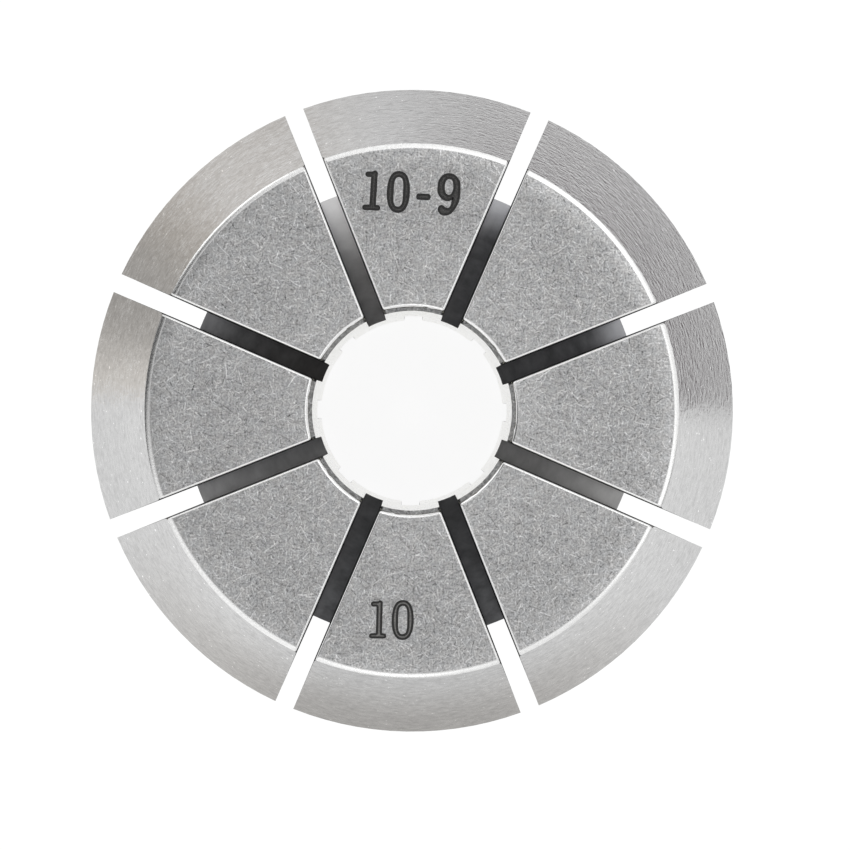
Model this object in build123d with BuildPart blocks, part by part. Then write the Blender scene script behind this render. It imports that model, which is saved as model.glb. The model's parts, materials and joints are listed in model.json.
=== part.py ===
"""Spring collet, size 32: one hardened steel sleeve with a nose cone, an extraction groove and a long
seat taper, slit eight times from each end so that it closes evenly on a tool shank.

Millimetres. The axis is +Z. The collet stands on its small rear end at z = 0, and its front face, which
the clamping nut surrounds, is at z = overall_length.
"""

from build123d import *
from math import cos, radians, sqrt, tan
import os

os.makedirs("parts", exist_ok=True)

# Overall form
overall_length = 40.0
rim_diameter = 33.0  # the widest ring, behind the nose cone
rim_depth = 5.5  # front face to the rear shoulder of the rim
rim_land = 0.38  # short cylinder between the nose cone and the shoulder
nose_half_angle = 30.0  # the cone that the clamping nut presses on, from the axis

# Seat taper, which fits the holder
gauge_diameter = 32.0
gauge_depth = 7.16  # front face to the gauge diameter
seat_half_angle = 8.0

# Extraction groove, which the nut's ring hooks into
groove_diameter = 29.2
groove_width = 3.0
groove_root_chamfer = 0.3
groove_edge_break = 0.2  # chamfer left on both lips of the groove

# Bore
nominal_bore = 10.0
bore_ease = 0.15  # how much wider the bore stands while nothing closes it
mouth_chamfer = 0.265
tail_bore_chamfer = 0.5

# Saw slots
slots_per_end = 8
slot_width = 1.0
saw_diameter = 63.0
saw_axis_gap = 1.2  # from the axis to the saw's deepest reach
tail_web = 8.1  # rear face to the end of a front slot, on the seat taper
groove_web = 2.0  # groove to the end of a rear slot, on the seat taper

# Edges
tail_chamfer = 0.8
nose_rounding = 0.7  # front face into the nose cone
mouth_rounding = 0.25  # front face into the mouth chamfer
slot_rounding = 0.12  # tumbled edges of the slots on both end faces
grinding_stock = 0.15  # on the seat, rim, nose and bore until they are ground
overrun = 1.0  # how far the saws and the grinding run past the ends

# Heights of the steps in the outline
shoulder_z = overall_length - rim_depth
land_z = shoulder_z + rim_land
groove_floor_z = shoulder_z - groove_width
groove_middle_z = shoulder_z - groove_width / 2
gauge_z = overall_length - gauge_depth

# Radii
rim_radius = rim_diameter / 2
groove_radius = groove_diameter / 2
bore_radius = (nominal_bore + bore_ease) / 2
saw_radius = saw_diameter / 2
rough_bore_radius = bore_radius - grinding_stock
rough_rim_radius = rim_radius + grinding_stock

# Slopes of the two cones, and the stock on them measured square to the axis
seat_slope = tan(radians(seat_half_angle))
nose_slope = tan(radians(nose_half_angle))
seat_stock = grinding_stock / cos(radians(seat_half_angle))
nose_stock = grinding_stock / cos(radians(nose_half_angle))


def seat_radius(z):
    """Radius of the finished seat taper at height z."""
    return gauge_diameter / 2 + (z - gauge_z) * seat_slope


def nose_radius(z):
    """Radius of the finished nose cone at height z."""
    return rim_radius - (z - land_z) * nose_slope


def saw_rise(radius):
    """Height between the saw's centre and the place where its rim crosses a radius of the collet."""
    reach = radius - saw_axis_gap
    return sqrt(reach * (saw_diameter - reach))


# Each saw stops where its round floor runs out of the seat taper at the web
rear_slot_end_z = groove_floor_z - groove_web
front_saw_z = tail_web + saw_rise(seat_radius(tail_web))
rear_saw_z = rear_slot_end_z - saw_rise(seat_radius(rear_slot_end_z))
saw_centre_x = saw_axis_gap + saw_radius

# Corners of the turned blank, as radius and height
tail_chamfer_z = (tail_chamfer + seat_stock) / (1 - seat_slope)
tail_bore_chamfer_z = tail_bore_chamfer + grinding_stock
mouth_corner = (bore_radius + mouth_chamfer, overall_length)
mouth_chamfer_z = overall_length - mouth_chamfer - grinding_stock
nose_corner = (nose_radius(overall_length) + nose_stock, overall_length)
rough_land_z = land_z + (nose_stock - grinding_stock) / nose_slope
groove_roots = [(groove_radius, groove_floor_z), (groove_radius, shoulder_z)]
groove_lips = [
    (seat_radius(groove_floor_z) + seat_stock, groove_floor_z),
    (rough_rim_radius, shoulder_z),
]

# --- Saws: a round blade fed along the collet from each end face ---

with BuildPart() as front_saw:
    with BuildSketch(Plane.XZ):
        with Locations((saw_centre_x, front_saw_z)):
            Circle(saw_radius)
        with Locations((saw_axis_gap, front_saw_z)):
            feed = overall_length - front_saw_z + overrun
            Rectangle(saw_radius, feed, align=(Align.MIN, Align.MIN))
    extrude(amount=slot_width / 2, both=True)

with BuildPart() as rear_saw:
    with BuildSketch(Plane.XZ):
        with Locations((saw_centre_x, rear_saw_z)):
            Circle(saw_radius)
        with Locations((saw_axis_gap, rear_saw_z)):
            Rectangle(saw_radius, rear_saw_z + overrun, align=(Align.MIN, Align.MAX))
    extrude(amount=slot_width / 2, both=True)

# --- Collet ---

with BuildPart() as collet:
    # Turned blank, which leaves stock for grinding on the seat, rim, nose and bore
    with BuildSketch(Plane.XZ) as blank:
        with BuildLine():
            Polyline(
                (rough_bore_radius, tail_bore_chamfer_z),
                (bore_radius + tail_bore_chamfer, 0),
                (seat_radius(0) - tail_chamfer, 0),
                (seat_radius(tail_chamfer_z) + seat_stock, tail_chamfer_z),
                groove_lips[0],
                groove_roots[0],
                groove_roots[1],
                groove_lips[1],
                (rough_rim_radius, rough_land_z),
                nose_corner,
                mouth_corner,
                (rough_bore_radius, mouth_chamfer_z),
                close=True,
            )
        make_face()
        for corner, radius in ((mouth_corner, mouth_rounding), (nose_corner, nose_rounding)):
            fillet(blank.vertices().sort_by_distance(corner)[0], radius)
        for corners, length in (
            (groove_roots, groove_root_chamfer),
            (groove_lips, groove_edge_break + grinding_stock),
        ):
            chamfer([blank.vertices().sort_by_distance(corner)[0] for corner in corners], length)
    revolve(axis=Axis.Z)

    # Slots: those from the rear start on +X, and those from the front lie halfway between them
    with PolarLocations(0, slots_per_end):
        add(rear_saw.part, mode=Mode.SUBTRACT)
    with PolarLocations(0, slots_per_end, start_angle=180 / slots_per_end):
        add(front_saw.part, mode=Mode.SUBTRACT)

    # Tumbling rounds the sawn edges of both end faces
    levels = collet.faces().filter_by(Axis.Z).group_by(Axis.Z)
    end_edges = levels[0].edges() + levels[-1].edges()
    fillet(end_edges.filter_by(GeomType.LINE), slot_rounding)

    # Grinding leaves the seat, rim, nose and bore with crisp edges
    with BuildSketch(Plane.XZ):
        with BuildLine():
            Polyline(
                (bore_radius, -overrun),
                (seat_radius(-overrun), -overrun),
                (seat_radius(groove_middle_z), groove_middle_z),
                (rim_radius, groove_middle_z),
                (rim_radius, land_z),
                (nose_radius(overall_length + overrun), overall_length + overrun),
                (bore_radius, overall_length + overrun),
                close=True,
            )
        make_face()
    revolve(axis=Axis.Z, mode=Mode.INTERSECT)

collet.part.label = "collet"
export_step(collet.part, "parts/collet.step")
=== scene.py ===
"""Dresses a slotted spring collet: a steel body, its engraved numbers and a soft studio.

Lengths are in millimetres and angles in degrees, unless a note says otherwise. A heading is an angle round
the bore's axis, clockwise from the Y axis as seen from above. A reach is a distance from that axis.
"""

import json
import logging
import math
from dataclasses import dataclass
from enum import Enum
from functools import reduce

import bpy
from bpy.types import ID, Curve, Material, Mesh, Node, NodeSocket as Socket, NodeTree, Object, World
from mathutils import Matrix, Vector

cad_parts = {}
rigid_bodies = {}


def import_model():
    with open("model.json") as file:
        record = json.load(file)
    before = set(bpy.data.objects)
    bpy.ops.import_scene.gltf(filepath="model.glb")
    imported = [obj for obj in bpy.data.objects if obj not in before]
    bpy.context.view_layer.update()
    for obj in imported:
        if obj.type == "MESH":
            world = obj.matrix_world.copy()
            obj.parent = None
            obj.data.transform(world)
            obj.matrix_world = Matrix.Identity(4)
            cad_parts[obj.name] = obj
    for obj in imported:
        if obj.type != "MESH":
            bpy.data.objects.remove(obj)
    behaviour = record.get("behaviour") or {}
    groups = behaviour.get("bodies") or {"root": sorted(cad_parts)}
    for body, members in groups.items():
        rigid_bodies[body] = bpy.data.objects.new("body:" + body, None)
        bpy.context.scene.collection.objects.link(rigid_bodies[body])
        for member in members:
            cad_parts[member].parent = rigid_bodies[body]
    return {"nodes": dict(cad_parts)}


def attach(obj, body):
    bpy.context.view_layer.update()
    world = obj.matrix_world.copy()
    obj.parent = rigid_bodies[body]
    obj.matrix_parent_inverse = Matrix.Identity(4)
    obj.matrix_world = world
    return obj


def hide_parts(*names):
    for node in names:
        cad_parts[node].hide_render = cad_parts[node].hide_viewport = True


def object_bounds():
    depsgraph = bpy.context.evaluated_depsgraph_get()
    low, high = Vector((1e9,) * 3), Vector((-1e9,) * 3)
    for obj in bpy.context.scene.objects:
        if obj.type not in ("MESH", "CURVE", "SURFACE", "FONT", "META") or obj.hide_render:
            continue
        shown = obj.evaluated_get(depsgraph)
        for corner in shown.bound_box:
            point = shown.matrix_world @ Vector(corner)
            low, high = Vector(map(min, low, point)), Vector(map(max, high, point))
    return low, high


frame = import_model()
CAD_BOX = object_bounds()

LOG = logging.getLogger("collet")
MM = 0.001
BODY = "root"
COLLET_NODE = "collet"

Value = Socket | Node | float | bool | str | tuple[float, ...] | None
Tint = tuple[float, float, float]
Colour = tuple[float, float, float, float]
Pair = tuple[float, float]

WHITE: Colour = (1.0, 1.0, 1.0, 1.0)
BLACK: Colour = (0.0, 0.0, 0.0, 1.0)


class Slot(Enum):
    """The record's material slots."""

    STEEL = "ground_steel"
    MARK = "etched_mark"


class Graph:
    """Adds nodes to one node tree and joins them."""

    def __init__(self, tree: NodeTree) -> None:
        """Keeps the tree that the nodes go into."""
        self.tree = tree

    def feed(self, socket: Socket, value: Value) -> None:
        """Joins an input to an output, or sets its own value.

        Args:
            socket: The input.
            value: An output, a node that stands for its first output, a plain value, or None for no change.
        """
        if isinstance(value, Node):
            value = value.outputs[0]
        if isinstance(value, Socket):
            self.tree.links.new(value, socket)
        elif value is not None:
            socket.default_value = value

    def fill(self, node: Node, **inputs: Value) -> Node:
        """Feeds inputs of a node by name.

        Args:
            node: The node.
            inputs: What each takes, with an underscore for a space in its name.

        Returns:
            The node.
        """
        for name, value in inputs.items():
            self.feed(node.inputs[name.replace("_", " ")], value)
        return node

    def node(self, kind: str, *values: Value, **settings: str | int | bool | ID) -> Node:
        """Adds a node.

        Args:
            kind: Blender's identifier of the node type.
            values: What the open inputs take, in their order.
            settings: The node's own options.

        Returns:
            The new node.
        """
        made = self.tree.nodes.new(kind)
        for name, value in settings.items():
            setattr(made, name, value)
        for socket, value in zip([s for s in made.inputs if s.enabled], values):
            self.feed(socket, value)
        return made

    def math(self, operation: str, *terms: Value, clamp: bool = False) -> Socket:
        """Adds a Math node and returns its result."""
        return self.node("ShaderNodeMath", *terms, operation=operation, use_clamp=clamp).outputs[0]

    def times(self, first: Value, *others: Value) -> Value:
        """Returns the product of some numbers."""
        return reduce(lambda product, other: self.math("MULTIPLY", product, other), others, first)

    def vector(self, operation: str, *terms: Value) -> Socket:
        """Adds a Vector Math node and returns the vector that it gives."""
        return self.node("ShaderNodeVectorMath", *terms, operation=operation).outputs["Vector"]

    def measure(self, operation: str, *terms: Value) -> Socket:
        """Adds a Vector Math node and returns the number that it gives."""
        return self.node("ShaderNodeVectorMath", *terms, operation=operation).outputs["Value"]

    def flat(self, place: Value) -> Socket:
        """Returns a place with its height taken out."""
        return self.vector("MULTIPLY", place, (1.0, 1.0, 0.0))

    def split(self, vector: Value) -> list[Socket]:
        """Returns the X, Y and Z of a vector."""
        return list(self.node("ShaderNodeSeparateXYZ", vector).outputs)

    def join(self, x: Value, y: Value, z: Value) -> Socket:
        """Returns a vector of three numbers."""
        return self.node("ShaderNodeCombineXYZ", x, y, z).outputs[0]

    def heading(self, place: Value) -> Socket:
        """Returns the heading of a place, in radians."""
        x, y, _ = self.split(place)
        return self.math("ARCTAN2", x, y)

    def ramp(self, value: Value, low: Value, high: Value, start: Value = 0.0, end: Value = 1.0) -> Socket:
        """Turns low to high into start to end, smoothly and clamped."""
        found = self.node("ShaderNodeMapRange", value, low, high, start, end, interpolation_type="SMOOTHSTEP")
        return found.outputs[0]

    def noise(self, vector: Value, scale: Value, detail: float = 2.0, roughness: float = 0.5) -> Socket:
        """Returns the value of a noise at a place, about 0.5 on average."""
        return self.node("ShaderNodeTexNoise", vector, scale, detail, roughness).outputs[0]

    def blend(self, factor: Value, first: Value, second: Value) -> Socket:
        """Returns a colour between two."""
        mixed = self.node("ShaderNodeMix", factor, first, second, data_type="RGBA")
        return next(s for s in mixed.outputs if s.enabled)

    def scaled(self, vector: Value, factor: Value) -> Socket:
        """Returns a vector made longer or shorter."""
        node = self.node("ShaderNodeVectorMath", vector, operation="SCALE")
        return self.fill(node, Scale=factor).outputs[0]

    def spread(self, value: Value, gain: float, base: Value, clamp: bool = False) -> Socket:
        """Adds to a base how far a noise strays from its mean of 0.5, times a gain."""
        return self.math("MULTIPLY_ADD", self.math("SUBTRACT", value, 0.5), gain, base, clamp=clamp)


class Shader(Graph):
    """A material's graph, with the object's own coordinates in millimetres."""

    def __init__(self, name: str) -> None:
        """Starts a material.

        Args:
            name: The material's name.
        """
        self.material = bpy.data.materials.new(name)
        self.material.use_nodes = True
        super().__init__(self.material.node_tree)
        self.tree.nodes.clear()
        self.place = self.scaled(self.node("ShaderNodeTexCoord").outputs["Object"], 1.0 / MM)

    def finish(self, **inputs: Value) -> Material:
        """Adds the surface shader, of bare metal, and the output.

        Args:
            inputs: What the shader's inputs take, named as for fill.

        Returns:
            The finished material.
        """
        surface = self.fill(self.node("ShaderNodeBsdfPrincipled"), **{"Metallic": 1.0} | inputs)
        self.node("ShaderNodeOutputMaterial", surface)
        return self.material

    def bump(self, height: Value, depth: float, base: Value = None) -> Socket:
        """Returns a normal bent by a height of 0 to 1, where 1 stands for a depth."""
        node = self.node("ShaderNodeBump")
        return self.fill(node, Strength=1.0, Distance=depth * MM, Height=height, Normal=base).outputs[0]

    def reach(self) -> Socket:
        """Gives the reach of the place that is shaded."""
        return self.measure("LENGTH", self.flat(self.place))

    def turned(self, heading: float) -> Socket:
        """Gives how far the place lies round the axis from a heading, in radians."""
        return self.math("SUBTRACT", self.heading(self.place), math.radians(heading))

    def facing(self, heading: float) -> Socket:
        """Gives 1 on the side of a heading, and -1 on the far side."""
        return self.math("COSINE", self.turned(heading))

    def around(self, pitch: float, length: float, radius: float) -> Socket:
        """Gives coordinates in which a noise lies in streaks round the axis.

        Args:
            pitch: The distance between streaks.
            length: The length of a streak.
            radius: The reach that the length is measured at.

        Returns:
            A vector without a seam.
        """
        turn = self.scaled(self.vector("NORMALIZE", self.flat(self.place)), radius / length)
        height = self.split(self.place)[2]
        lift = self.math("DIVIDE", self.math("SUBTRACT", height, self.reach()), pitch)
        cos_turn, sin_turn, _ = self.split(turn)
        return self.join(cos_turn, sin_turn, lift)


def scratch_group() -> NodeTree:
    """Builds the node group of one layer of scratches, each at its own random angle.

    Returns:
        The group. It gives a mark of 0 to 1, and a random number for each scratch.
    """
    full, gone = 0.25, 0.5
    tree = bpy.data.node_groups.new("scratch_layer", "ShaderNodeTree")
    tree.interface.new_socket("Place", in_out="INPUT", socket_type="NodeSocketVector")
    for name in ("Spacing", "Length", "Width", "Bend"):
        tree.interface.new_socket(name, in_out="INPUT", socket_type="NodeSocketFloat")
    for name in ("Mark", "Random"):
        tree.interface.new_socket(name, in_out="OUTPUT", socket_type="NodeSocketFloat")
    graph = Graph(tree)
    given = graph.node("NodeGroupInput").outputs
    x, y, _ = graph.split(given["Place"])
    columns = graph.math("DIVIDE", x, given["Spacing"])
    rows = graph.math("DIVIDE", y, given["Spacing"])
    flat = graph.join(columns, rows, 0.0)
    cell = graph.node("ShaderNodeTexVoronoi", flat, 0.0, voronoi_dimensions="2D", feature="F1")
    graph.fill(cell, Scale=1.0, Randomness=1.0)
    chance, angle, curl = graph.node("ShaderNodeSeparateColor", cell.outputs["Color"]).outputs
    offset = graph.vector("SUBTRACT", flat, cell.outputs["Position"])
    spun = graph.node("ShaderNodeVectorRotate", offset, rotation_type="Z_AXIS")
    graph.fill(spun, Angle=graph.times(angle, math.tau))
    along, across, _ = graph.split(spun.outputs[0])
    bow = graph.times(along, along, graph.math("SUBTRACT", curl, 0.5), given["Bend"])
    across = graph.math("ADD", across, bow)
    run = graph.math("DIVIDE", graph.times(along, given["Spacing"]), given["Length"])
    rise = graph.math("DIVIDE", graph.times(across, given["Spacing"]), given["Width"])
    off = graph.measure("LENGTH", graph.join(run, rise, 0.0))
    graph.node("NodeGroupOutput", graph.ramp(off, full, gone, 1.0, 0.0), chance)
    return tree


@dataclass(frozen=True)
class ScratchLayer:
    """One size of scratch.

    Attributes:
        spacing: The distance between scratches.
        length: The length of each.
        width: The width of each.
        bend: How far each may curl.
        shift: Where the layer starts along X, so that no two layers match.
        gain: What the brightest scratch adds to the tone.
        skew: Where it starts along Y, as a share of the shift.
        faintest: The faintest scratch, against the brightest.
    """

    spacing: float
    length: float
    width: float
    bend: float
    shift: float
    gain: float
    skew: float = 0.7
    faintest: float = -0.6

    def draw(self, shader: Shader, group: NodeTree) -> Socket:
        """Adds the layer to a shader.

        Args:
            shader: The shader to draw in.
            group: The scratch group.

        Returns:
            What it adds to the tone.
        """
        layer = shader.fill(
            shader.node("ShaderNodeGroup", node_tree=group),
            Place=shader.vector("ADD", shader.place, (self.shift, self.shift * self.skew, 0.0)),
            Spacing=self.spacing,
            Length=self.length,
            Width=self.width,
            Bend=self.bend,
        )
        range_above = 1.0 - self.faintest
        strength = shader.math("MULTIPLY_ADD", layer.outputs["Random"], range_above, self.faintest)
        return shader.times(layer.outputs["Mark"], strength, self.gain)


@dataclass(frozen=True)
class TumbledSteel:
    """Steel tumbled among stones: a fine felt of short scratches that run every way.

    Attributes:
        tone: The mean brightness.
        roughness: The mean roughness.
        felt: How strongly the finest grain shows.
        cloud: How strongly the widest patches show.
        rub: How much brighter it is beside the rim and the bore.
        bore_rub: The reaches between which the rub at the bore fades.
        rim_rub: The reaches between which the rub at the rim grows.
        fall: How far the face falls away at the rim, as a slope.
        fall_zone: The reaches between which it does.
        cool: One tint of its patches.
        warm: The other.
        relief: The height of the grain.
        layers: The sizes of scratch, from fine to coarse.
    """

    tone: float = 0.355
    roughness: float = 0.36
    felt: float = 0.66
    cloud: float = 0.08
    rub: float = 0.028
    bore_rub: Pair = (5.6, 9.0)
    rim_rub: Pair = (11.8, 13.3)
    fall: float = 0.12
    fall_zone: Pair = (12.0, 13.4)
    cool: Tint = (0.992, 0.998, 1.008)
    warm: Tint = (1.008, 1.0, 0.994)
    relief: float = 0.005
    layers: tuple[ScratchLayer, ...] = (
        ScratchLayer(0.15, 0.28, 0.070, 0.0, 3.1, 0.15),
        ScratchLayer(0.22, 0.42, 0.070, 0.0, 11.7, 0.17),
        ScratchLayer(0.36, 0.70, 0.065, 0.1, 23.9, 0.17),
        ScratchLayer(0.38, 0.70, 0.080, 0.1, 37.3, -0.13),
        ScratchLayer(0.85, 1.30, 0.065, 0.4, 51.1, 0.20),
    )

    def dubbing(self, shader: Shader) -> Socket:
        """Bends the normal outward just inside the rim, where the stones wore the face most.

        Args:
            shader: The shader to draw in.

        Returns:
            The bent normal.
        """
        outward = shader.vector("NORMALIZE", shader.flat(shader.place))
        fall = shader.math("POWER", shader.ramp(shader.reach(), *self.fall_zone), 2.0)
        lean = shader.scaled(outward, shader.times(fall, self.fall))
        plane = shader.node("ShaderNodeNewGeometry").outputs["Normal"]
        return shader.vector("NORMALIZE", shader.vector("ADD", plane, lean))

    def material(self, name: str) -> Material:
        """Builds the material.

        Args:
            name: The material's name.

        Returns:
            The material.
        """
        shader = Shader(name)
        group = scratch_group()
        scratch_height, all_cool, all_warm = 2.0, 0.35, 0.65
        reach = shader.reach()
        grain = shader.noise(shader.place, 9.5, 3.0, 0.65)
        patches = shader.noise(shader.place, 0.45)
        hue = shader.noise(shader.place, 2.1, 2.0, 0.6)
        tone = shader.spread(patches, self.cloud, shader.spread(grain, self.felt, self.tone))
        tone = shader.math("ADD", tone, shader.ramp(reach, *self.bore_rub, self.rub, 0.0))
        tone = shader.math("ADD", tone, shader.ramp(reach, *self.rim_rub, 0.0, self.rub))
        marks: Value = 0.0
        for layer in self.layers:
            marks = shader.math("ADD", layer.draw(shader, group), marks)
        tone = shader.math("ADD", tone, marks, clamp=True)
        cool = shader.scaled(self.cool, tone)
        warm = shader.scaled(self.warm, tone)
        height = shader.math("MULTIPLY_ADD", marks, scratch_height, grain)
        return shader.finish(
            Base_Color=shader.blend(shader.ramp(hue, all_cool, all_warm), cool, warm),
            Roughness=shader.spread(grain, -0.35, self.roughness),
            Normal=shader.bump(height, self.relief, self.dubbing(shader)),
        )


@dataclass(frozen=True)
class WornEdge:
    """The rounded edges, worn brighter than the faces beside them.

    Attributes:
        tone: The mean brightness.
        roughness: The mean roughness.
        tint: The metal's tint.
        relief: The height of the grain.
    """

    tone: float = 0.78
    roughness: float = 0.21
    tint: Tint = (1.0, 1.0, 0.995)
    relief: float = 0.002

    def material(self, name: str) -> Material:
        """Builds the material.

        Args:
            name: The material's name.

        Returns:
            The material.
        """
        shader = Shader(name)
        grain = shader.noise(shader.place, 9.0, 3.0, 0.6)
        return shader.finish(
            Base_Color=shader.scaled(self.tint, shader.spread(grain, 0.30, self.tone, clamp=True)),
            Roughness=shader.spread(grain, -0.25, self.roughness),
            Normal=shader.bump(grain, self.relief),
        )


@dataclass(frozen=True)
class GroundSteel:
    """Steel ground round the axis: fine streaks, glossy along them and matt across.

    Attributes:
        tone: The mean brightness.
        roughness: The mean roughness.
        stretch: How much rougher it is across the streaks.
        pitch: The distance between streaks.
        length: The length of a streak.
        contrast: How far a streak strays from the mean brightness.
        relief: The height of the streaks.
        pitted: How deep the small pits are, against the streaks.
        patchy: How far the roughness strays from its mean.
        painted_glint: How much brighter the stray specks are, as painted highlights.
        shade: How much painted shade darkens it towards the rim.
        film: How much more painted shade darkens it towards the rim on one side.
        painted_shade_side: The heading of that side.
        rim_zone: The reaches between which both grow.
        tint: The metal's tint.
        painted_shade_tint: The warm tint of that painted shade.
    """

    tone: float = 0.60
    roughness: float = 0.17
    stretch: float = 0.70
    pitch: float = 0.20
    length: float = 0.42
    contrast: float = 0.34
    relief: float = 0.016
    pitted: float = 0.4
    patchy: float = 0.36
    painted_glint: float = 0.0
    shade: float = 0.04
    film: float = 0.27
    painted_shade_side: float = 185.0
    rim_zone: Pair = (13.4, 16.2)
    tint: Colour = (1.0, 1.0, 0.999, 1.0)
    painted_shade_tint: Colour = (1.03, 1.0, 0.965, 1.0)

    def material(self, name: str) -> Material:
        """Builds the material.

        Args:
            name: The material's name.

        Returns:
            The material.
        """
        shader = Shader(name)
        radius, coarser, longer = 15.0, 6.0, 3.0
        painted_shade_edge, glint_from, glint_to = 0.42, 0.72, 0.78
        wide = shader.around(self.pitch * coarser, self.length * longer, radius)
        fine = shader.noise(shader.around(self.pitch, self.length, radius), 1.0, 1.5, 0.6)
        broad = shader.noise(wide, 1.0, 3.0, 0.6)
        speck = shader.noise(shader.place, 7.0, 2.0, 0.6)
        glint_noise = shader.noise(shader.place, 5.0, 1.0)
        rim = shader.ramp(shader.reach(), *self.rim_zone)
        # Painted shade: the tone is darkened towards the rim, more so and warmer on one side.
        film = shader.times(rim, shader.ramp(shader.facing(self.painted_shade_side), painted_shade_edge, 1.0))
        dull = shader.math("MULTIPLY_ADD", film, self.film, shader.times(rim, self.shade))
        tone = shader.spread(fine, self.contrast, self.tone)
        tone = shader.spread(broad, self.contrast * 0.3, tone)
        tone = shader.spread(speck, self.contrast * 0.5, tone)
        # Painted highlights: stray bright specks added to the tone.
        tone = shader.math("ADD", tone, shader.ramp(glint_noise, glint_from, glint_to, 0.0, self.painted_glint))
        tone = shader.math("MULTIPLY", tone, shader.math("SUBTRACT", 1.0, dull), clamp=True)
        shine = shader.spread(speck, self.patchy, shader.spread(fine, self.patchy, self.roughness))
        shine = shader.spread(broad, self.patchy * 1.1, shine, clamp=True)
        height = shader.math("MULTIPLY_ADD", speck, self.pitted, fine)
        return shader.finish(
            Base_Color=shader.scaled(shader.blend(film, self.tint, self.painted_shade_tint), tone),
            Roughness=shine,
            Anisotropic=self.stretch,
            Anisotropic_Rotation=0.25,
            Tangent=shader.node("ShaderNodeTangent", direction_type="RADIAL", axis="Z"),
            Normal=shader.bump(height, self.relief),
        )


@dataclass(frozen=True)
class SawnSteel:
    """The slots: steel darkened as painted shade, with the saw's curved strokes, and painted light in three
    slots and at the outer ends.

    Attributes:
        tone: The mean brightness, darkened as painted shade in the deep slots.
        roughness: The mean roughness.
        slot_light: How much painted light brightens it at three headings, a third of a turn apart.
        first_lit_slot: The first of them.
        end_light: How much painted light brightens the outer ends.
        end_light_side: The heading where that painted light is brightest.
        end_light_from: The reach where that painted light starts.
        end_light_to: The reach where it is full.
        early: How much sooner it starts in the slots with painted light.
        saw_centre: The reach and height of the saw's centre.
        strokes: How many strokes there are in a millimetre.
        unlit_tint: The tint where the slots have no painted light.
        lit_tint: The tint under the painted light in the three slots.
        relief: The height of the strokes.
    """

    # Painted shade: a dark tone for the deep slots.
    tone: float = 0.085
    roughness: float = 0.42
    slot_light: float = 0.13
    first_lit_slot: float = 112.5
    end_light: float = 0.34
    end_light_side: float = 20.0
    end_light_from: float = 10.2
    end_light_to: float = 12.6
    early: float = 3.6
    saw_centre: Pair = (38.0, 30.0)
    strokes: float = 6.0
    unlit_tint: Colour = (0.98, 0.99, 1.03, 1.0)
    lit_tint: Colour = (1.01, 1.0, 0.99, 1.0)
    relief: float = 0.004

    def painted_end_light(self, shader: Shader, slot_light_mask: Socket) -> Socket:
        """Gives the painted light that brightens the outer ends.

        Args:
            shader: The shader to draw in.
            slot_light_mask: How much painted light the slot has, from 0 to 1.

        Returns:
            What it adds to the tone.
        """
        unlit_side = -0.8
        # Painted light: the outer ends made brighter, most on one side and in the lit slots.
        side = shader.math("POWER", shader.ramp(shader.facing(self.end_light_side), unlit_side, 1.0), 2.0)
        most = shader.math("MULTIPLY_ADD", slot_light_mask, 0.5 * self.end_light, self.end_light)
        start = shader.math("MULTIPLY_ADD", slot_light_mask, -self.early, self.end_light_from)
        return shader.times(side, most, shader.ramp(shader.reach(), start, self.end_light_to))

    def material(self, name: str) -> Material:
        """Builds the material.

        Args:
            name: The material's name.

        Returns:
            The material.
        """
        shader = Shader(name)
        x, y, z = shader.split(shader.place)
        run = shader.math("SUBTRACT", shader.reach(), self.saw_centre[0])
        rise = shader.math("SUBTRACT", z, self.saw_centre[1])
        sweep = shader.times(shader.measure("LENGTH", shader.join(run, rise, 0.0)), self.strokes)
        strokes = shader.noise(shader.join(sweep, x, y), 1.0, 3.0, 0.6)
        stain = shader.noise(shader.place, 0.8, 3.0, 0.55)
        # Painted light: three slots, a third of a turn apart, made brighter and warmer in tint.
        thrice = shader.times(shader.turned(self.first_lit_slot), 3.0)
        slot_light_mask = shader.math("MAXIMUM", shader.math("COSINE", thrice), 0.0)
        tone = shader.math("MULTIPLY_ADD", slot_light_mask, self.slot_light, self.tone)
        tone = shader.math("ADD", tone, self.painted_end_light(shader, slot_light_mask))
        tone = shader.spread(stain, 0.06, shader.spread(strokes, 0.12, tone), clamp=True)
        return shader.finish(
            Base_Color=shader.scaled(shader.blend(slot_light_mask, self.unlit_tint, self.lit_tint), tone),
            Roughness=shader.spread(stain, 0.2, self.roughness),
            Normal=shader.bump(strokes, self.relief),
        )


@dataclass(frozen=True)
class EtchedMark:
    """The dark scale that the marking beam leaves in a number's lines.

    Attributes:
        tone: The mean brightness.
        roughness: The mean roughness.
        specks: How much brighter the brightest specks are.
        tint: Its tint.
        relief: The height of the grain.
    """

    tone: float = 0.018
    roughness: float = 0.60
    specks: float = 0.06
    tint: Tint = (1.02, 1.0, 0.97)
    relief: float = 0.004

    def material(self, name: str) -> Material:
        """Builds the material.

        Args:
            name: The material's name.

        Returns:
            The material.
        """
        shader = Shader(name)
        pits = shader.noise(shader.place, 14.0, 3.0, 0.7)
        return shader.finish(
            Base_Color=shader.scaled(self.tint, shader.spread(pits, self.specks, self.tone, clamp=True)),
            Metallic=0.35,
            Roughness=shader.spread(pits, 0.4, self.roughness, clamp=True),
            Normal=shader.bump(pits, self.relief),
        )


Finish = TumbledSteel | WornEdge | GroundSteel | SawnSteel | EtchedMark

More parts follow.
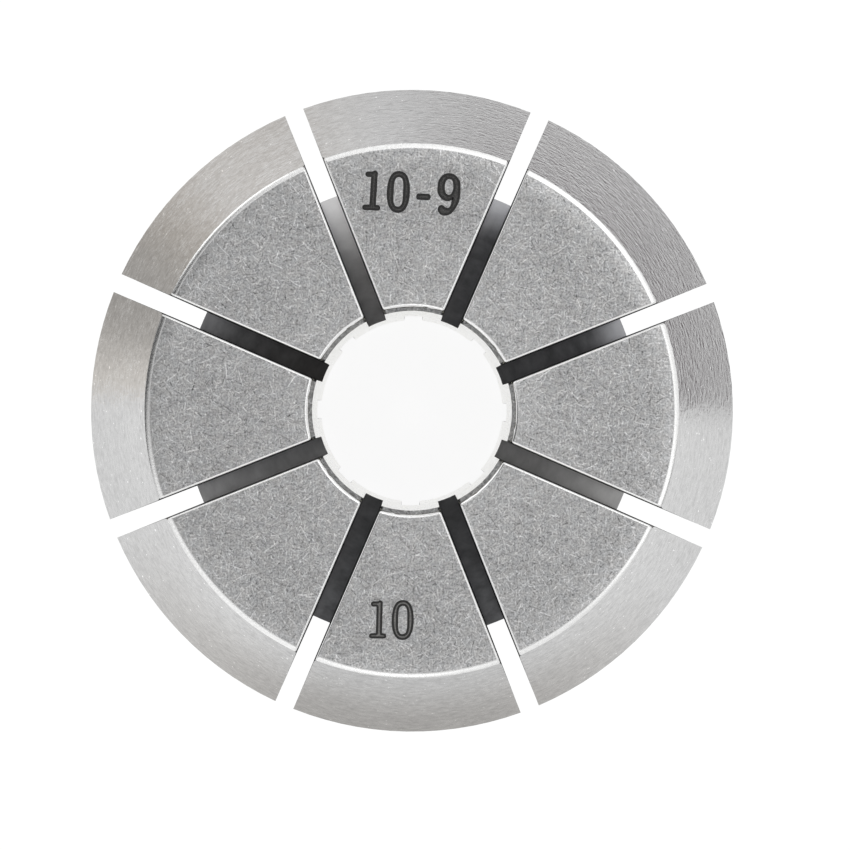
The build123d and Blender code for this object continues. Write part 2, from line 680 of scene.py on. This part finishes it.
FINISHES: dict[str, Finish] = {
    "sawn_slot": SawnSteel(),
    "tumbled_face": TumbledSteel(),
    "worn_edge": WornEdge(),
    "mouth_chamfer": TumbledSteel(tone=0.30, fall=0.0),
    "ground_nose": GroundSteel(painted_glint=0.35),
    "ground_seat": GroundSteel(pitch=0.16, relief=0.004, patchy=0.22),
    "turned_groove": GroundSteel(tone=0.52, roughness=0.34, contrast=0.24, relief=0.005, patchy=0.12),
    "bored_wall": GroundSteel(
        tone=0.87, roughness=0.12, contrast=1.1, relief=0.001, film=0.0, tint=(1.01, 1.0, 0.945, 1.0)
    ),
    "tumbled_tail": TumbledSteel(tone=0.46, fall=0.0),
}


class Field(Graph):
    """A geometry graph, with the tests that pick faces of a turned part."""

    def __init__(self, name: str, sockets: dict[str, str]) -> None:
        """Starts a tree.

        Args:
            name: The tree's name.
            sockets: The type of each input after the geometry, by its name.
        """
        super().__init__(bpy.data.node_groups.new(name, "GeometryNodeTree"))
        self.tree.is_modifier = True
        for label, kind in {"Geometry": "Geometry", **sockets}.items():
            self.tree.interface.new_socket(label, in_out="INPUT", socket_type=f"NodeSocket{kind}")
        self.tree.interface.new_socket("Geometry", in_out="OUTPUT", socket_type="NodeSocketGeometry")
        self.given = self.node("NodeGroupInput").outputs

    def compare(self, operation: str, first: Value, second: Value) -> Socket:
        """Returns whether one number is over or under another."""
        return self.node("FunctionNodeCompare", first, second, operation=operation).outputs[0]

    def both(self, first: Value, second: Value) -> Socket:
        """Returns whether two tests hold."""
        return self.node("FunctionNodeBooleanMath", first, second, operation="AND").outputs[0]

    def within(self, value: Value, limits: Pair) -> Socket:
        """Returns whether a number lies between two limits."""
        over = self.compare("GREATER_THAN", value, limits[0])
        return self.both(over, self.compare("LESS_THAN", value, limits[1]))

    def sized(self, geometry: Value, factor: float) -> Socket:
        """Returns a geometry made larger or smaller about the origin."""
        node = self.node("GeometryNodeTransform", geometry)
        return self.fill(node, Scale=(factor, factor, factor)).outputs[0]

    def merged(self, geometry: Value, distance: Value) -> Socket:
        """Returns a mesh whose corners are one where they lie closer than a distance."""
        return self.fill(self.node("GeometryNodeMergeByDistance", geometry), Distance=distance).outputs[0]

    def named(self, geometry: Socket, name: str, value: Socket) -> Socket:
        """Returns a mesh that keeps a vector at each of its corners under a name."""
        node = self.node("GeometryNodeStoreNamedAttribute", data_type="FLOAT_VECTOR", domain="CORNER")
        return self.fill(node, Geometry=geometry, Name=name, Value=value).outputs[0]

    def dressed(self, geometry: Value, name: str, chosen: Value = None) -> Socket:
        """Returns a mesh with the material of a named input, on all faces or the chosen ones."""
        node = self.node("GeometryNodeSetMaterial", geometry, chosen)
        return self.fill(node, Material=self.given[name]).outputs[0]

    def apply(self, piece: Object, values: dict[str, float | ID]) -> Mesh:
        """Runs the tree on an object, with a modifier that is removed again.

        Args:
            piece: The object that the tree works on.
            values: What each named input takes.

        Returns:
            The result, as a plain mesh.
        """
        modifier = piece.modifiers.new(self.tree.name, "NODES")
        modifier.node_group = self.tree
        for item in self.tree.interface.items_tree:
            if item.in_out == "INPUT" and item.name in values:
                modifier[item.identifier] = values[item.name]
        graph = bpy.context.evaluated_depsgraph_get()
        made = piece.evaluated_get(graph)
        mesh = bpy.data.meshes.new_from_object(made, preserve_all_data_layers=True, depsgraph=graph)
        piece.modifiers.remove(modifier)
        return mesh


def show(name: str, data: ID) -> Object:
    """Puts a mesh, curve, light or camera in the scene.

    Args:
        name: Its name.
        data: What it is.

    Returns:
        The new object, at the origin.
    """
    piece = bpy.data.objects.new(name, data)
    bpy.context.scene.collection.objects.link(piece)
    return piece


class Form(Enum):
    """How the surface of a region bends, which sets its exact normals."""

    TURNED = "turned"
    ROUNDED = "rounded"
    ROLLED = "rolled"


@dataclass(frozen=True)
class Band:
    """A region of the collet's surface, told by where it is and which way it faces.

    Attributes:
        finish: The name of its finish.
        reach: The limits of its reach.
        height: The limits of its height.
        facing: The limits of its normal's Z.
        form: How it bends.
        centre: The reach and height of a rounding's centre. For a rolled edge, its radius comes first.
        slope: How far its normal rises from level, where that is the same all over.
    """

    finish: str
    reach: Pair
    height: Pair
    facing: Pair
    form: Form = Form.TURNED
    centre: Pair = (0.0, 0.0)
    slope: float | None = None


class Bend(Enum):
    """How an outline passes through one of its points."""

    SMOOTH = "AUTO"
    CORNER = "VECTOR"


Outline = tuple[tuple[float, float, Bend], ...]


@dataclass(frozen=True)
class Glyph:
    """A character drawn by its outline, on an em one unit high.

    Attributes:
        width: The room that it takes.
        loops: The closed outlines.
    """

    width: float
    loops: tuple[Outline, ...]


def smooth(*points: Pair) -> Outline:
    """Returns points that an outline passes smoothly."""
    return tuple((x, y, Bend.SMOOTH) for x, y in points)


def corners(*points: Pair) -> Outline:
    """Returns points that an outline passes with a corner each."""
    return tuple((x, y, Bend.CORNER) for x, y in points)


def ring(x: float, y: float, half_width: float, half_height: float) -> Outline:
    """Returns the four points of an upright oval."""
    return smooth((x, y + half_height), (x + half_width, y), (x, y - half_height), (x - half_width, y))


ONE = Glyph(
    0.39,
    (
        corners((0.0, 0.04), (0.39, 0.04), (0.39, 0.116), (0.277, 0.124), (0.285, 0.95), (0.245, 0.98))
        + corners((0.19, 0.945), (0.035, 0.938), (0.035, 0.862), (0.182, 0.862), (0.174, 0.124))
        + corners((0.0, 0.116)),
    ),
)
ZERO = Glyph(0.54, (ring(0.27, 0.5, 0.255, 0.49), ring(0.27, 0.5, 0.145, 0.395)))
NINE = Glyph(
    0.54,
    (
        smooth((0.26, 1.0), (0.47, 0.88), (0.52, 0.6), (0.45, 0.22), (0.2, 0.0), (0.05, 0.09), (0.09, 0.2))
        + smooth((0.2, 0.15), (0.3, 0.15))
        + corners((0.385, 0.43))
        + smooth((0.23, 0.36), (0.05, 0.48), (0.01, 0.69), (0.07, 0.9)),
        ring(0.265, 0.69, 0.135, 0.225),
    ),
)
DASH = Glyph(0.34, (corners((0.02, 0.36), (0.32, 0.36), (0.32, 0.46), (0.02, 0.46)),))


@dataclass(frozen=True)
class Marking:
    """A row of plain numbers on the front face.

    Attributes:
        name: The row's name.
        line: The width of its lines.
        film: The finish of the strokes between the lines, where the beam also passed.
        glyphs: The characters, from left to right.
        height: Their height.
        gap: The space between two.
        centre: The middle of the row.
        turn: How far the row is turned from the X axis.
    """

    name: str
    line: float
    film: EtchedMark
    glyphs: tuple[Glyph, ...]
    height: float
    gap: float
    centre: Pair
    turn: float

    def outlines(self, curve: Curve) -> None:
        """Adds the row's outlines to a curve.

        Args:
            curve: The curve that the closed splines go into.
        """
        widths = [glyph.width * self.height for glyph in self.glyphs]
        place = Matrix.Translation((*self.centre, 0.0)) @ Matrix.Rotation(math.radians(self.turn), 4, "Z")
        start = -(sum(widths) + self.gap * (len(widths) - 1)) / 2
        for glyph, width in zip(self.glyphs, widths):
            for loop in glyph.loops:
                spline = curve.splines.new("BEZIER")
                spline.bezier_points.add(len(loop) - 1)
                spline.use_cyclic_u = True
                for point, (x, y, bend) in zip(spline.bezier_points, loop):
                    at = Vector((start + x * self.height, (y - 0.5) * self.height, 0.0))
                    point.co = (place @ at) * MM
                    point.handle_left_type = point.handle_right_type = bend.value
            start += width + self.gap


ROWS = (
    Marking(
        name="range_numbers",
        line=0.125,
        film=EtchedMark(tone=0.045, specks=0.25),
        glyphs=(ONE, ZERO, DASH, NINE),
        height=2.05,
        gap=0.38,
        centre=(-0.18, 11.06),
        turn=-1.95,
    ),
    Marking(
        name="size_numbers",
        line=0.115,
        film=EtchedMark(tone=0.14, specks=0.35),
        glyphs=(ONE, ZERO),
        height=1.965,
        gap=0.343,
        centre=(-0.847, -10.62),
        turn=0.0,
    ),
)


@dataclass
class FaceNumbers:
    """A row of numbers on the front face: lines cut by a marking beam, with dark scale in them.

    Attributes:
        row: The row of numbers.
        face: The height of the front face.
        finish: The material of the scale in the lines.
        depth: How deep a line is cut.
        shallow: How deep the stroke between the lines is cut.
        scale: How thick the dark scale is in the lines.
        film: How thick it is between them.
        clearance: How far the cutters stand over the face.
        rounding: The radius of a corner, in widths of a line.
        weld: The distance under which two corners of a plate are one.
        steps: How many pieces a bend of an outline has.
    """

    row: Marking
    face: float
    finish: Material
    depth: float = 0.030
    shallow: float = 0.022
    scale: float = 0.022
    film: float = 0.010
    clearance: float = 0.010
    rounding: float = 0.55
    weld: float = 0.0002
    steps: int = 8

    def path(self) -> Object:
        """Draws the outlines.

        Returns:
            One flat curve object.
        """
        curve = bpy.data.curves.new("number_outlines", "CURVE")
        curve.dimensions = "3D"
        curve.resolution_u = self.steps
        self.row.outlines(curve)
        return show("number_outlines", curve)

    def start(self, name: str) -> tuple[Field, Socket]:
        """Starts a tree that works on the outlines, with each corner softened.

        Args:
            name: The tree's name.

        Returns:
            The tree, and the softened outlines.
        """
        sizes = dict.fromkeys(("Width", "Thickness", "Height", "Rounding"), "Float")
        tree = Field(name, sizes | {"Finish": "Material"})
        radius = tree.given["Rounding"]
        path = tree.node("GeometryNodeResampleCurve", tree.given["Geometry"], mode="EVALUATED")
        soft = tree.node("GeometryNodeFilletCurve", path, 2, radius, True, mode="POLY")
        return tree, soft.outputs[0]

    def end(self, tree: Field, geometry: Value, height: Socket) -> Field:
        """Ends a tree: lifts the result and gives it the finish.

        Args:
            tree: The tree.
            geometry: The result so far.
            height: How far it goes up.

        Returns:
            The tree.
        """
        lifted = tree.node("GeometryNodeTransform", geometry)
        tree.fill(lifted, Translation=tree.join(0.0, 0.0, height))
        real = tree.node("GeometryNodeRealizeInstances", lifted)
        tree.node("NodeGroupOutput", tree.dressed(real, "Finish"))
        return tree

    def sweep(self) -> Field:
        """Builds the tree that sweeps a flat bar along the outlines.

        Returns:
            The tree.
        """
        tree, soft = self.start("number_lines")
        thickness = tree.given["Thickness"]
        bar = tree.node("GeometryNodeCurvePrimitiveQuadrilateral", tree.given["Width"], thickness)
        upright = tree.node("GeometryNodeSetCurveNormal", soft, mode="Z_UP")
        swept = tree.node("GeometryNodeCurveToMesh", upright, bar)
        middle = tree.math("MULTIPLY_ADD", thickness, -0.5, tree.given["Height"])
        return self.end(tree, swept, middle)

    def plate(self) -> Field:
        """Builds the tree that makes a closed plate of what the outlines go round.

        Returns:
            The tree.
        """
        tree, soft = self.start("number_strokes")
        thickness = tree.given["Thickness"]
        flat = tree.node("GeometryNodeFillCurve", soft)
        raised = tree.node("GeometryNodeExtrudeMesh", flat, mode="FACES")
        tree.fill(raised, Offset=(0.0, 0.0, 1.0), Offset_Scale=thickness, Individual=False)
        both = tree.node("GeometryNodeJoinGeometry", raised)
        tree.feed(both.inputs[0], tree.node("GeometryNodeFlipFaces", flat))
        closed = tree.merged(both, self.weld * MM)
        return self.end(tree, closed, tree.math("SUBTRACT", tree.given["Height"], thickness))

    def layer(self, path: Object, tree: Field, low: float, high: float, finish: Material) -> Mesh:
        """Runs a tree between two depths under the face.

        Args:
            path: The outlines.
            tree: The tree.
            low: The greater depth.
            high: The smaller depth, under zero where it is over the face.
            finish: The material.

        Returns:
            The mesh.
        """
        line = self.row.line * MM
        sizes = {"Width": line, "Rounding": line * self.rounding, "Thickness": (low - high) * MM}
        return tree.apply(path, sizes | {"Height": (self.face - high) * MM, "Finish": finish})

    def build(self) -> tuple[list[Object], list[Object]]:
        """Makes the dark scale, and the cutters that make room for it.

        Returns:
            The pieces, and the cutters, which aren't shown.
        """
        path = self.path()
        film = self.row.film.material(f"{self.row.name}_film")
        layers = (
            ("lines", self.sweep(), self.depth, self.scale, self.finish),
            ("strokes", self.plate(), self.shallow, self.film, film),
        )
        pieces = []
        cutters = []
        for name, tree, depth, thickness, finish in layers:
            scale = self.layer(path, tree, depth, depth - thickness, finish)
            room = self.layer(path, tree, depth, -self.clearance, finish)
            pieces.append(show(f"{self.row.name}_{name}", scale))
            cutters.append(show(f"cutter_{name}", room))
        bpy.data.objects.remove(path)
        return pieces, cutters


class Turning:
    """The fields of a turned surface: where its faces are, and the exact normal at each corner."""

    MOST_TWIST = 0.08

    def __init__(self, tree: Field, place: Value) -> None:
        """Reads where each face is and which way it faces.

        Args:
            tree: The tree to build in.
            place: The place of a point.
        """
        self.tree = tree
        self.z = tree.split(place)[2]
        flat = tree.flat(place)
        self.reach = tree.measure("LENGTH", flat)
        self.outward = tree.vector("NORMALIZE", flat)
        plane = tree.node("GeometryNodeInputNormal").outputs["True Normal"]
        plane = self.per_face(plane, "FLOAT_VECTOR")
        self.tilt = tree.split(plane)[2]
        self.lean = tree.flat(plane)
        sideways = tree.vector("CROSS_PRODUCT", self.outward, (0.0, 0.0, 1.0))
        twist = tree.math("ABSOLUTE", tree.measure("DOT_PRODUCT", plane, sideways))
        self.turned = tree.compare("LESS_THAN", twist, self.MOST_TWIST)

    def per_face(self, value: Socket, kind: str) -> Socket:
        """Returns a field as its faces have it, at every corner."""
        return self.tree.node("GeometryNodeFieldOnDomain", value, data_type=kind, domain="FACE").outputs[0]

    def inside(self, band: Band) -> Socket:
        """Gives whether a face is in a band, and isn't a slot's wall unless the band is rolled.

        Args:
            band: The band.

        Returns:
            The test.
        """
        tree = self.tree
        placed = tree.both(tree.within(self.reach, band.reach), tree.within(self.z, band.height))
        if band.form is not Form.ROLLED:
            placed = tree.both(placed, self.turned)
        return self.per_face(tree.both(placed, tree.within(self.tilt, band.facing)), "BOOLEAN")

    def normal(self, band: Band) -> Socket:
        """Gives the exact normal of a band's surface.

        Args:
            band: The band.

        Returns:
            The normal at each corner.
        """
        tree = self.tree
        if band.form is Form.TURNED:
            way = tree.math("SIGN", tree.measure("DOT_PRODUCT", self.lean, self.outward))
            if band.slope is None:
                side, rise = tree.measure("LENGTH", self.lean), self.tilt
            else:
                side, rise = math.cos(math.radians(band.slope)), math.sin(math.radians(band.slope))
            return self.compose(self.outward, tree.times(side, way), rise)
        rise = tree.math("SUBTRACT", self.z, band.centre[1])
        if band.form is Form.ROUNDED:
            side = tree.math("SUBTRACT", self.reach, band.centre[0])
            return tree.vector("NORMALIZE", self.compose(self.outward, side, rise))
        rise = tree.math("DIVIDE", rise, band.centre[0], clamp=True)
        side = tree.math("SQRT", tree.math("SUBTRACT", 1.0, tree.times(rise, rise)))
        return self.compose(tree.vector("NORMALIZE", self.lean), side, rise)

    def compose(self, heading: Socket, side: Value, rise: Value) -> Socket:
        """Returns a vector of a part along a level heading and a part upwards."""
        level = self.tree.scaled(heading, side)
        return self.tree.vector("ADD", level, self.tree.join(0.0, 0.0, rise))


@dataclass
class ColletBody:
    """The one-piece collet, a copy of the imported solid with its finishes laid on.

    Attributes:
        node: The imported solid.
        weld: The distance under which two corners are one.
        solver: How the numbers' lines are cut.
        crease_limit: How far two unit normals may lie apart before their edge is sharp.
        bands: The regions. What is left is a sawn slot.
    """

    node: Object
    weld: float = 0.0005
    solver: str = "MANIFOLD"
    crease_limit: float = 0.01
    bands: tuple[Band, ...] = (
        Band("worn_edge", (5.2, 13.7), (39.80, 39.9999), (0.02, 0.9999), Form.ROLLED, (0.12, 39.88)),
        Band("worn_edge", (13.3, 13.6), (39.90, 39.9999), (0.90, 0.9999), Form.ROUNDED, (13.31, 39.30)),
        Band("worn_edge", (5.3, 5.45), (39.90, 39.9999), (0.72, 0.9999), Form.ROUNDED, (5.4436, 39.75)),
        Band("mouth_chamfer", (5.0, 5.42), (39.72, 39.96), (0.60, 0.72), slope=45.0),
        Band("tumbled_face", (5.0, 16.0), (39.95, 40.01), (0.9999, 1.01), slope=90.0),
        Band("ground_nose", (13.4, 16.5), (34.8, 39.97), (0.42, 0.58), slope=30.0),
        Band("ground_seat", (9.0, 16.6), (0.7, 31.4), (-0.20, -0.08), slope=-8.0),
        Band("ground_seat", (16.3, 16.6), (34.5, 34.95), (-0.05, 0.05), slope=0.0),
        Band("turned_groove", (13.5, 16.6), (31.25, 34.75), (-1.01, 1.01)),
        Band("bored_wall", (5.0, 5.15), (0.3, 39.75), (-0.05, 0.05), slope=0.0),
        Band("tumbled_tail", (4.9, 12.0), (-0.01, 0.9), (-1.01, -0.3)),
    )

    def dressing(self, finishes: list[str], cutters: list[str]) -> Field:
        """Builds the tree that welds the solid, cuts the numbers and lays the finishes on.

        Args:
            finishes: The name of each finish's input, the slots' first.
            cutters: The name of each cutter's input.

        Returns:
            The tree. Its other input is the weld distance.
        """
        kinds = dict.fromkeys(cutters, "Object") | dict.fromkeys(finishes, "Material")
        tree = Field("collet_dressing", {"Weld": "Float"} | kinds)
        facing = tree.node("GeometryNodeInputNormal").outputs["Normal"]
        solid = tree.sized(tree.named(tree.given["Geometry"], "facing", facing), 1.0 / MM)
        welded = tree.merged(solid, tree.given["Weld"])
        cut = tree.node("GeometryNodeMeshBoolean", welded, operation="DIFFERENCE", solver=self.solver)
        for name in cutters:
            cutter = tree.node("GeometryNodeObjectInfo", tree.given[name]).outputs["Geometry"]
            walls = tree.named(cutter, "facing", tree.scaled(facing, -1.0))
            tree.feed(cut.inputs["Mesh 2"], tree.sized(walls, 1.0 / MM))
        shaded = tree.node("GeometryNodeSetShadeSmooth", cut)
        turn = Turning(tree, tree.node("GeometryNodeInputPosition"))
        normal = tree.node("GeometryNodeInputNamedAttribute", "facing", data_type="FLOAT_VECTOR")
        choices = [(band, turn.inside(band)) for band in self.bands]
        for band, chosen in choices:
            exact = turn.normal(band)
            normal = tree.node("GeometryNodeSwitch", chosen, normal, exact, input_type="VECTOR").outputs[0]
        faced = tree.node("GeometryNodeSetMeshNormal", shaded, mode="FREE", domain="CORNER")
        dressed = tree.dressed(tree.fill(faced, Custom_Normal=normal), finishes[0])
        for band, chosen in choices:
            dressed = tree.dressed(dressed, band.finish, chosen)
        real = tree.node("GeometryNodeRealizeInstances", tree.sized(dressed, MM))
        tree.node("NodeGroupOutput", real)
        return tree

    def crease(self, mesh: Mesh) -> int:
        """Marks as sharp each edge whose two faces have different normals there.

        Args:
            mesh: The dressed mesh.

        Returns:
            How many edges are sharp.
        """
        normals = [corner.vector.copy() for corner in mesh.corner_normals]
        met: dict[tuple[int, int], Vector] = {}
        for face in mesh.polygons:
            around = list(face.loop_indices)
            for here, after in zip(around, around[1:] + around[:1]):
                edge = mesh.loops[here].edge_index
                for corner in (here, after):
                    other = met.setdefault((edge, mesh.loops[corner].vertex_index), normals[corner])
                    if (other - normals[corner]).length > self.crease_limit:
                        mesh.edges[edge].use_edge_sharp = True
        return sum(edge.use_edge_sharp for edge in mesh.edges)

    def build(self, cutters: list[Object]) -> Object:
        """Makes the dressed body.

        Args:
            cutters: What cuts the numbers' lines. They are deleted.

        Returns:
            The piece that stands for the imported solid.
        """
        finishes = {name: finish.material(name) for name, finish in FINISHES.items()}
        tools = {f"Cutter {number}": cutter for number, cutter in enumerate(cutters, 1)}
        copy = show("collet_copy", self.node.data.copy())
        tree = self.dressing(list(finishes), list(tools))
        mesh = tree.apply(copy, {"Weld": self.weld} | tools | finishes)
        LOG.info("collet_body: %d sharp edges", self.crease(mesh))
        for spent in (copy, *cutters):
            bpy.data.objects.remove(spent)
        piece = show("collet_body", mesh)
        piece.shadow_terminator_geometry_offset = 0.0
        return piece


@dataclass(frozen=True)
class Flag:
    """A soft dark patch for the steel to reflect: a painted reflection in the floor's colour, seen only by
    glossy rays, or a gap in the tent.

    Attributes:
        middle: The heading of its middle.
        half: Half of its width, as an angle.
        fade_in: The angle over which it fades before its first edge.
        fade_out: The angle over which it fades after its last.
        near: Where it begins, as a reach for a painted floor patch and as an angle from overhead for a gap.
        far: Where it ends.
        soft: How far it fades there, either way.
        depth: How much it hides of what is behind it.
        colour: The colour that a painted floor patch shows in reflections.
    """

    middle: float
    half: float
    fade_in: float
    fade_out: float
    near: float
    far: float
    soft: float
    depth: float
    colour: Colour = BLACK

    def cover(self, graph: Graph, heading: Socket, reach: Socket) -> Socket:
        """Gives how far it hides a place.

        Args:
            graph: The graph of the floor or the tent.
            heading: The place's heading.
            reach: How far out the place is, measured as for near.

        Returns:
            A value of 0 to the depth.
        """
        off = graph.math("WRAP", graph.math("SUBTRACT", heading, self.middle), 180.0, -180.0)
        first = graph.ramp(off, -self.half - self.fade_in, -self.half)
        last = graph.ramp(off, self.half, self.half + self.fade_out, 1.0, 0.0)
        inner = graph.ramp(reach, self.near - self.soft, self.near + self.soft)
        outer = graph.ramp(reach, self.far - self.soft, self.far + self.soft, 1.0, 0.0)
        return graph.times(graph.times(first, last), graph.times(inner, outer), self.depth)


@dataclass(frozen=True)
class Lamp:
    """A round soft lamp that faces the collet.

    Attributes:
        name: Its name.
        turn: The side it is on, as an angle from the X axis towards the Y axis.
        tilt: Its angle from overhead.
        distance: Its distance, in metres.
        size: Its diameter, in metres.
        power: Its power, in watts.
    """

    name: str
    turn: float
    tilt: float
    distance: float
    size: float
    power: float

    def hang(self) -> None:
        """Adds the lamp to the scene."""
        light = bpy.data.lights.new(self.name, "AREA")
        light.shape = "DISK"
        light.size = self.size
        light.energy = self.power
        swing = Matrix.Rotation(math.radians(self.turn), 4, "Z")
        place = swing @ Matrix.Rotation(math.radians(self.tilt), 4, "Y")
        show(self.name, light).matrix_world = place @ Matrix.Translation((0.0, 0.0, self.distance))


@dataclass
class Studio:
    """A pale floor, a soft tent of light, its lamps, and the camera over the front face.

    Attributes:
        reach: How far out the floor goes, in metres.
        drop: How far under the collet it lies, in metres.
        glow: How bright it is by itself.
        sheen: How much light it scatters to the camera and into the steel.
        matt: How much it scatters to all else.
        walls: How bright the tent's walls are.
        roof: How bright its roof is.
        eaves: The rises of a ray between which the one turns into the other.
        camera_height: The camera's height, in metres.
        lens: Its focal length.
        nearest: The nearest that it sees, in metres.
        turn: Its turn about its own axis.
        shift: How far its picture is shifted.
        lamps: The lamps.
        gaps: The gaps in the tent.
        reflection_patches: The painted reflection patches on the floor.
    """

    reach: float = 1.4
    drop: float = 0.00002
    glow: float = 0.93
    sheen: float = 0.12
    matt: float = 0.75
    walls: float = 1.0
    roof: float = 0.28
    eaves: Pair = (0.57, 0.75)
    camera_height: float = 0.410
    lens: float = 309.0
    nearest: float = 0.01
    turn: float = 0.95
    shift: Pair = (0.01536, -0.01681)
    lamps: tuple[Lamp, ...] = (
        Lamp("top_lamp", 80.0, 25.0, 0.80, 0.60, 0.80),
        Lamp("right_lamp", 20.0, 25.0, 0.80, 0.60, 0.68),
        Lamp("low_right_lamp", -55.0, 29.0, 0.80, 0.60, 0.50),
        Lamp("bottom_lamp", -96.0, 20.0, 0.80, 0.84, 0.31),
        Lamp("low_left_lamp", -130.0, 30.0, 0.80, 0.64, 0.69),
        Lamp("high_left_lamp", 133.0, 42.0, 0.80, 0.32, 0.34),
    )
    gaps: tuple[Flag, ...] = (
        Flag(276.0, 14.0, 12.0, 16.0, 12.0, 49.0, 5.0, 0.79),
        Flag(314.0, 16.0, 12.0, 12.0, 9.0, 28.0, 5.0, 0.75),
    )
    reflection_patches: tuple[Flag, ...] = (
        Flag(74.0, 16.3, 25.0, 1.5, 20.0, 500.0, 3.0, 0.10),
        Flag(60.3, 27.5, 65.3, 1.5, 78.5, 500.0, 3.0, 0.98, (0.040, 0.010, 0.022, 1.0)),
        Flag(182.0, 8.0, 55.0, 32.0, 20.0, 220.0, 9.0, 0.24),
        Flag(288.5, 14.0, 4.5, 16.0, 20.0, 220.0, 3.0, 1.00, (0.91, 0.865, 0.81, 1.0)),
        Flag(293.0, 5.0, 15.0, 22.0, 20.0, 220.0, 3.0, 0.52, (0.07, 0.06, 0.05, 1.0)),
        Flag(323.0, 8.0, 20.0, 25.0, 40.0, 94.0, 3.0, 0.26, (0.30, 0.15, 0.0, 1.0)),
        Flag(354.0, 17.0, 14.0, 12.0, 20.0, 80.5, 3.0, 0.09),
    )

    def cleared(self, holder: Material | World) -> Graph:
        """Empties the graph of a new material or world.

        Args:
            holder: The material or world.

        Returns:
            The graph.
        """
        holder.use_nodes = True
        holder.node_tree.nodes.clear()
        return Graph(holder.node_tree)

    def reflected_floor(self, graph: Graph) -> Socket:
        """Gives the floor's colour as the steel shows it, with every painted reflection patch laid on it.

        Args:
            graph: The floor's graph.

        Returns:
            The colour.
        """
        place = graph.node("ShaderNodeTexCoord").outputs["Object"]
        heading = graph.math("DEGREES", graph.heading(place))
        reach = graph.math("DIVIDE", graph.measure("LENGTH", graph.flat(place)), MM)
        colour: Value = WHITE
        for flag in self.reflection_patches:
            colour = graph.blend(flag.cover(graph, heading, reach), colour, flag.colour)
        return colour

    def paint(self) -> Material:
        """Builds the floor's material, which glows a little to the camera and in the steel.

        Returns:
            The material.
        """
        material = bpy.data.materials.new("pale_floor")
        graph = self.cleared(material)
        path = graph.node("ShaderNodeLightPath").outputs
        seen = graph.math("MAXIMUM", path["Is Camera Ray"], path["Is Glossy Ray"])
        seen = graph.math("MAXIMUM", seen, path["Is Transmission Ray"])
        matt = graph.node("ShaderNodeBsdfDiffuse", (self.matt, self.matt, self.matt, 1.0))
        dull = graph.node("ShaderNodeBsdfDiffuse", (self.sheen, self.sheen, self.sheen, 1.0))
        # Painted reflections: glossy rays see the floor with the patches, all other rays see it plain.
        colour = graph.blend(path["Is Glossy Ray"], WHITE, self.reflected_floor(graph))
        glow = graph.node("ShaderNodeEmission", colour, self.glow)
        pale = graph.node("ShaderNodeAddShader", dull, glow)
        graph.node("ShaderNodeOutputMaterial", graph.node("ShaderNodeMixShader", seen, matt, pale))
        return material

    def floor(self) -> None:
        """Makes the floor."""
        mesh = bpy.data.meshes.new("floor")
        ends = ((-1, -1), (1, -1), (1, 1), (-1, 1))
        mesh.from_pydata([(x * self.reach, y * self.reach, -self.drop) for x, y in ends], [], [(0, 1, 2, 3)])
        mesh.materials.append(self.paint())
        piece = show("floor", mesh)

    def world(self) -> None:
        """Puts the tent of light round the studio, which is plain white to the camera."""
        world = bpy.data.worlds.new("studio")
        graph = self.cleared(world)
        path = graph.node("ShaderNodeLightPath").outputs
        way = graph.node("ShaderNodeTexCoord").outputs["Generated"]
        rise = graph.split(way)[2]
        bright: Value = graph.ramp(rise, *self.eaves, self.walls, self.roof)
        heading = graph.math("DEGREES", graph.heading(way))
        tilt = graph.math("DEGREES", graph.math("ARCCOSINE", rise))
        for gap in self.gaps:
            covered = gap.cover(graph, heading, tilt)
            bright = graph.times(bright, graph.math("SUBTRACT", 1.0, covered))
        tent = graph.node("ShaderNodeBackground", WHITE, bright)
        white = graph.node("ShaderNodeBackground", WHITE, 1.0)
        mixed = graph.node("ShaderNodeMixShader", path["Is Camera Ray"], tent, white)
        graph.node("ShaderNodeOutputWorld", mixed)
        bpy.context.scene.world = world

    def camera(self) -> None:
        """Sets the camera straight over the front face."""
        data = bpy.data.cameras.new("camera")
        data.lens = self.lens
        data.shift_x, data.shift_y = self.shift
        data.clip_start = self.nearest
        camera = show("camera", data)
        camera.location = (0.0, 0.0, self.camera_height)
        camera.rotation_euler = (0.0, 0.0, math.radians(self.turn))
        bpy.context.scene.camera = camera

    def build(self) -> None:
        """Sets up the whole studio."""
        self.floor()
        self.world()
        for lamp in self.lamps:
            lamp.hang()
        self.camera()
        bpy.context.scene.view_settings.view_transform = "Standard"


def main() -> None:
    """Builds the collet and its studio, and reports each piece."""
    logging.basicConfig(level=logging.INFO)
    top = CAD_BOX[1][2] / MM
    dark = EtchedMark().material("etched_scale")
    rows = [FaceNumbers(row, top, dark).build() for row in ROWS]
    cutters = [cutter for _, spent in rows for cutter in spent]
    body = ColletBody(frame["nodes"][COLLET_NODE]).build(cutters)
    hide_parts(COLLET_NODE)
    numbers = [piece for pieces, _ in rows for piece in pieces]
    for piece, slot in [(body, Slot.STEEL)] + [(piece, Slot.MARK) for piece in numbers]:
        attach(piece, BODY)
        LOG.info("%s: %d faces", piece.name, len(piece.data.polygons))
    Studio().build()


if __name__ == "__main__":
    main()
